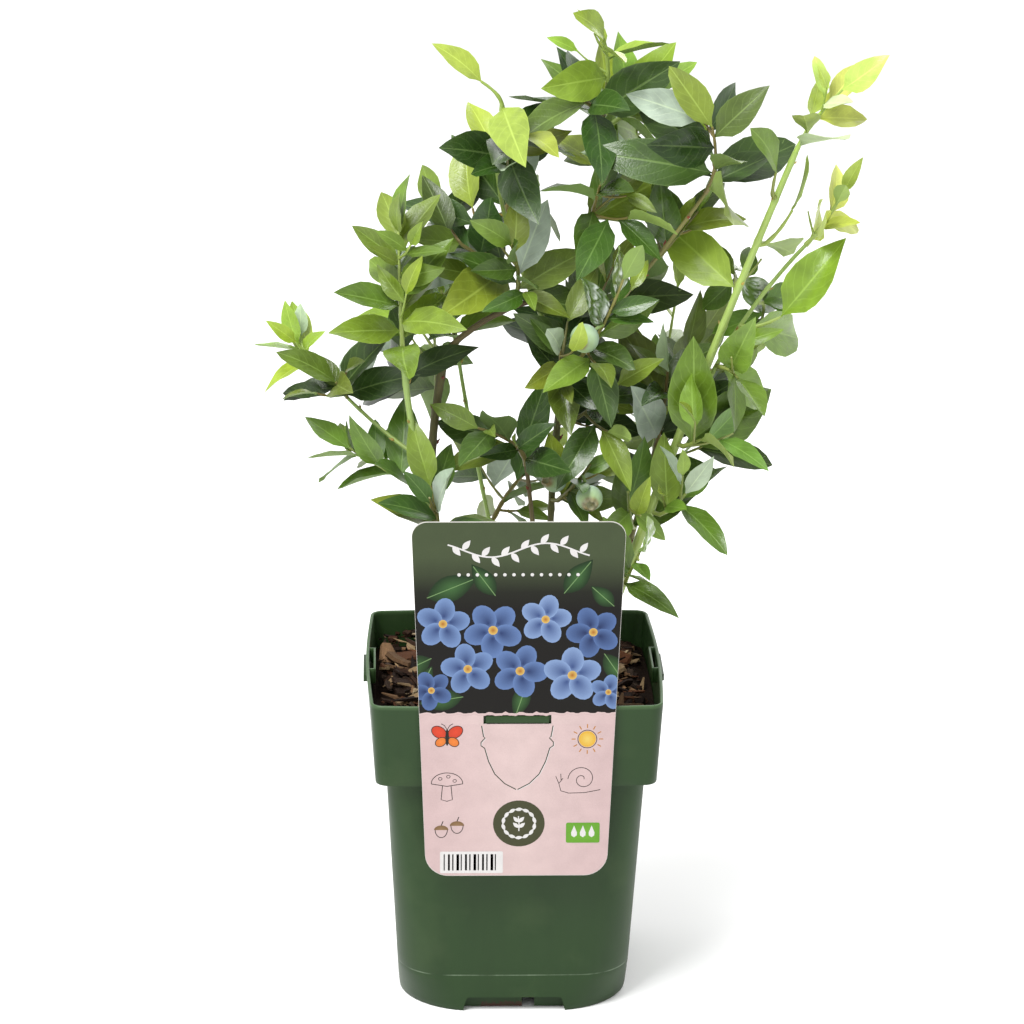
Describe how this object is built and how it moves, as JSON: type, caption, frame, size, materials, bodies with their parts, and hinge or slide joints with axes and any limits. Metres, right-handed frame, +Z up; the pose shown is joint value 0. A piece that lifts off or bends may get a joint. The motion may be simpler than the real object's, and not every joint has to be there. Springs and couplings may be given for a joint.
{
  "type": "blueberry bush in a pot",
  "caption": "Young open blueberry bush with glossy leaves and a few green berries, in a square plastic nursery pot with a hanging plant label.",
  "frame": {"origin": "middle of the pot's underside, on the flat boss it stands on", "axes": "+Z up along the pot's centre line, +X to the right seen from the label side, -Y the side the label hangs on"},
  "size_m": [0.2749, 0.1587, 0.4527],
  "materials": {
    "pot": "dark green injection-moulded plastic, satin",
    "potting_mix": "damp bark and peat mix, dull",
    "plant_label": "printed plastic card, half gloss",
    "green_shoot": "smooth yellow-green young bark",
    "brown_wood": "older grey-brown bark with bud scars",
    "leaves_dark": "glossy dark green leaves",
    "leaves_deep": "half-glossy deep green leaves",
    "leaves_mid": "half-glossy mid green leaves",
    "leaves_lime": "young lime green leaves",
    "leaves_pale": "youngest pale green leaves"
  },
  "bodies": {
    "root": {"pot": "pot", "potting_mix": "potting_mix", "plant_label": "plant_label", "cane_left_green": "green_shoot", "cane_thin_green": "green_shoot", "cane_old_brown": "brown_wood", "cane_centre": "brown_wood", "cane_centre_twig": "brown_wood", "cane_right_green": "green_shoot", "cane_inner_right": "brown_wood", "bough_brown_arm": "brown_wood", "bough_upper_left": "green_shoot", "bough_top": "brown_wood", "bough_upper_right": "brown_wood", "bough_right_thin": "green_shoot", "bough_left_reach": "green_shoot", "foliage_right_cane_top": "leaves_lime", "foliage_right_cane_narrow": "leaves_mid", "foliage_right_cane_upper": "leaves_lime", "foliage_right_shoot_top": "leaves_lime", "foliage_right_folded": "leaves_lime", "foliage_left_cane_top": "leaves_pale", "foliage_left_tip": "leaves_lime", "foliage_left_dark": "leaves_dark", "foliage_top_right": "leaves_dark", "foliage_top_tip": "leaves_lime", "foliage_top_left": "leaves_dark", "foliage_top_lime": "leaves_lime", "foliage_left_centre_tip": "leaves_lime", "foliage_left_centre_top": "leaves_dark", "foliage_right_low": "leaves_mid", "foliage_right_lowest": "leaves_mid", "foliage_right_round": "leaves_mid", "foliage_right_glossy": "leaves_mid", "foliage_right_shoot_middle": "leaves_mid", "foliage_left_low": "leaves_mid", "foliage_left_cane_side": "leaves_dark", "foliage_left_centre_low": "leaves_dark", "foliage_centre_left": "leaves_deep", "foliage_top_middle": "leaves_deep", "foliage_top_right_low": "leaves_deep", "foliage_centre_knot": "leaves_deep", "foliage_centre_middle": "leaves_dark", "foliage_centre_right": "leaves_dark", "foliage_centre_low": "leaves_deep", "foliage_centre_low_left": "leaves_dark", "foliage_right_inner": "leaves_dark", "foliage_label_right": "leaves_mid", "foliage_label_hanging": "leaves_mid", "foliage_left_foot": "leaves_deep", "foliage_thin_shoot_top": "leaves_mid", "foliage_top_back": "leaves_mid", "foliage_left_centre_back": "leaves_dark", "foliage_centre_back": "leaves_dark", "foliage_right_back": "leaves_deep", "foliage_pale_sprig": "leaves_pale", "foliage_left_back": "leaves_mid", "foliage_low_back": "leaves_deep"}
  },
  "joints": []
}
